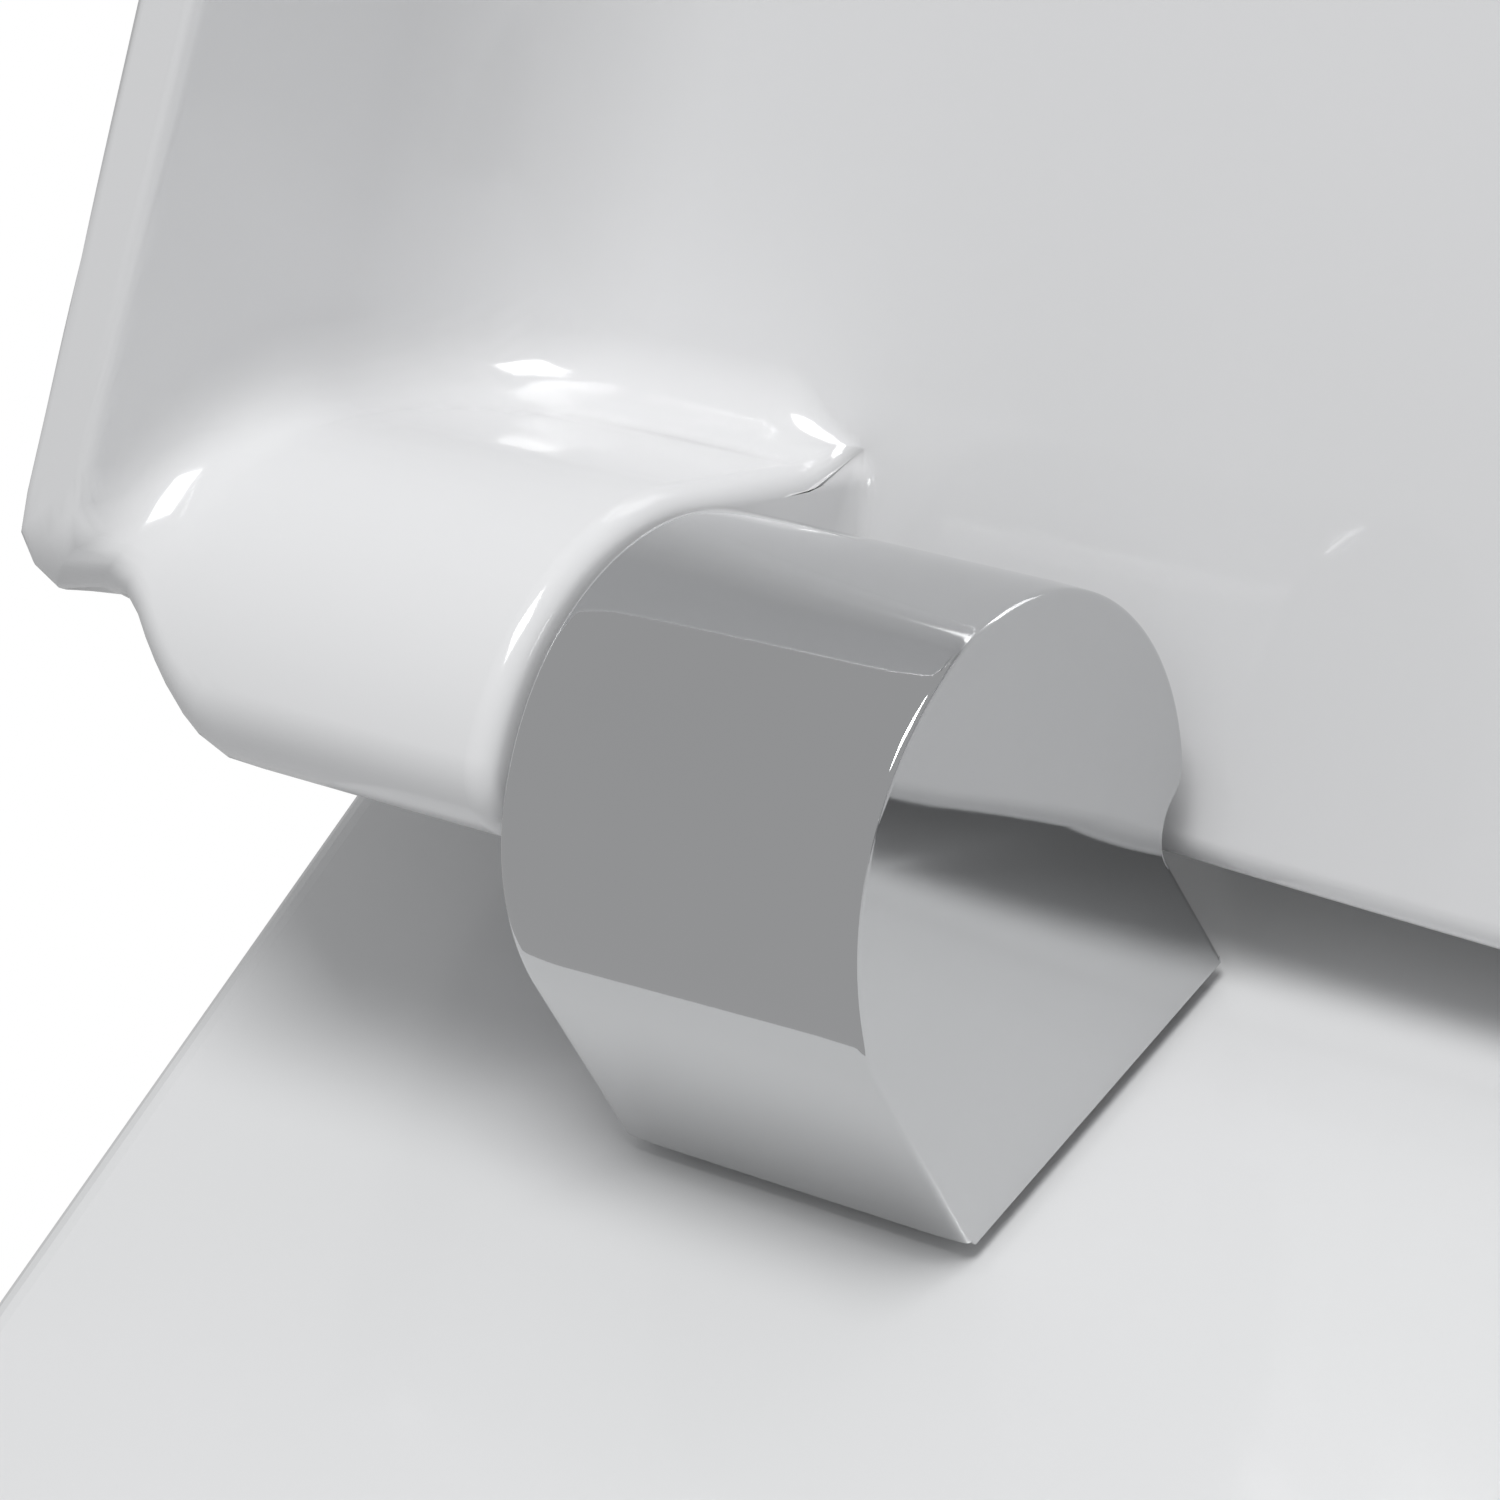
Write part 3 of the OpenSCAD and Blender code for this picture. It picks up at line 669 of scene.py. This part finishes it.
# The bowl's ceramic deck with its left edge, which isn't part of the object and only stands in the
# picture. Seen in the chrome, the deck from a little in front of the posts glows flat grey: a painted
# reflection of a grey studio, though the deck goes on.
deck_thickness, deck_round = 0.015, 0.003
deck_back, deck_front, deck_right, left_back, left_front = 0.125, -0.38, 0.45, -0.179, -0.060
mirror_grey = (0.46, 0.462, 0.466, 1)
deck = bmesh.new()
bmesh.ops.create_cube(deck, size=1)
for v in deck.verts:
    behind = v.co.y > 0
    left = left_back if behind else left_front
    depth = 0.0 if v.co.z > 0 else -deck_thickness
    v.co = (deck_right if v.co.x > 0 else left, deck_back if behind else deck_front, depth)
edges = [e for e in deck.edges if all(v.co.z > -0.001 for v in e.verts)]
bmesh.ops.bevel(deck, geom=edges, offset=deck_round, affect="EDGES", segments=6, profile=0.5, material=-1)
deck_slab = add_object(deck, "deck")
ceramic = finish(
    "ceramic", (0.76, 0.77, 0.77), (0.79, 0.79, 0.80), (0.12, 0.2), grain=300, relief=0.03, coat=0.3
)
deck_slab.data.materials.append(ceramic)
tree = ceramic.node_tree
where = tree.nodes.new("ShaderNodeTexCoord")
forward = tree.nodes.new("ShaderNodeVectorMath")
forward.operation = "DOT_PRODUCT"
forward.inputs[1].default_value = (0.174, 1, 0)
ahead = tree.nodes.new("ShaderNodeMath")
ahead.operation = "LESS_THAN"
ahead.inputs[1].default_value = -0.0506
in_mirror = tree.nodes.new("ShaderNodeLightPath")
both = tree.nodes.new("ShaderNodeMath")
both.operation = "MULTIPLY"
# Painted reflection: glossy rays that meet the deck ahead of that line see a flat grey glow, not the deck
painted_reflection_grey = tree.nodes.new("ShaderNodeEmission")
painted_reflection_grey.inputs["Color"].default_value = mirror_grey
choice = tree.nodes.new("ShaderNodeMixShader")
tree.links.new(where.outputs["Object"], forward.inputs[0])
tree.links.new(forward.outputs["Value"], ahead.inputs[0])
tree.links.new(ahead.outputs["Value"], both.inputs[0])
tree.links.new(in_mirror.outputs["Is Glossy Ray"], both.inputs[1])
tree.links.new(both.outputs["Value"], choice.inputs["Fac"])
tree.links.new(tree.nodes["Principled BSDF"].outputs["BSDF"], choice.inputs[1])
tree.links.new(painted_reflection_grey.outputs["Emission"], choice.inputs[2])
tree.links.new(choice.outputs["Shader"], tree.nodes["Material Output"].inputs["Surface"])


# The studio: a black card behind the lid for the shade under its back edge, which the camera doesn't
# see, a large lamp overhead, a weak one in front that the gloss doesn't show, and a white background.
card_size, card_at = (0.56, 0.07, 1), (0.14, 0.085, 0.036)
card = bmesh.new()
bmesh.ops.create_grid(card, x_segments=1, y_segments=1, size=0.5)
bmesh.ops.scale(card, vec=card_size, verts=card.verts)
card_stands = Matrix.Translation(card_at) @ Matrix.Rotation(math.radians(90), 4, "X")
bmesh.ops.transform(card, verts=card.verts, matrix=card_stands)
shade_card = add_object(card, "shade_card")
card_black = finish("card_black", (0.02, 0.02, 0.02), (0.03, 0.03, 0.03), (0.9, 1.0))
shade_card.data.materials.append(card_black)
shade_card.visible_camera = False
for lamp_name, lamp_at, size, power, mirrored in (
    ("key", (0.12, -0.12, 1.1), 0.45, 7.8, True),
    ("fill", (0.7, -0.9, 0.7), 0.8, 0.8, False),
):
    lamp = bpy.data.lights.new(lamp_name, "AREA")
    lamp.shape, lamp.size, lamp.energy = "SQUARE", size, power
    holder = bpy.data.objects.new(lamp_name, lamp)
    bpy.context.scene.collection.objects.link(holder)
    holder.visible_glossy = mirrored
    aim = (target - Vector(lamp_at)).to_track_quat("-Z", "Y")
    holder.matrix_world = Matrix.Translation(lamp_at) @ aim.to_matrix().to_4x4()
soft_light, white = (0.37, 0.372, 0.376, 1), (1, 1, 1, 1)
world = bpy.data.worlds.new("studio")
bpy.context.scene.world = world
world.use_nodes = True
sky = world.node_tree
ray = sky.nodes.new("ShaderNodeLightPath")
mixes = []
for shown, what in ((mirror_grey, "Is Glossy Ray"), (white, "Is Camera Ray")):
    mix = sky.nodes.new("ShaderNodeMix")
    mix.data_type = "RGBA"
    mix.inputs["A"].default_value = soft_light
    mix.inputs["B"].default_value = shown
    if mixes:
        sky.links.new(mixes[-1].outputs["Result"], mix.inputs["A"])
    sky.links.new(ray.outputs[what], mix.inputs["Factor"])
    mixes.append(mix)
sky.links.new(mixes[-1].outputs["Result"], sky.nodes["Background"].inputs["Color"])
bpy.context.scene.view_settings.view_transform = "Standard"
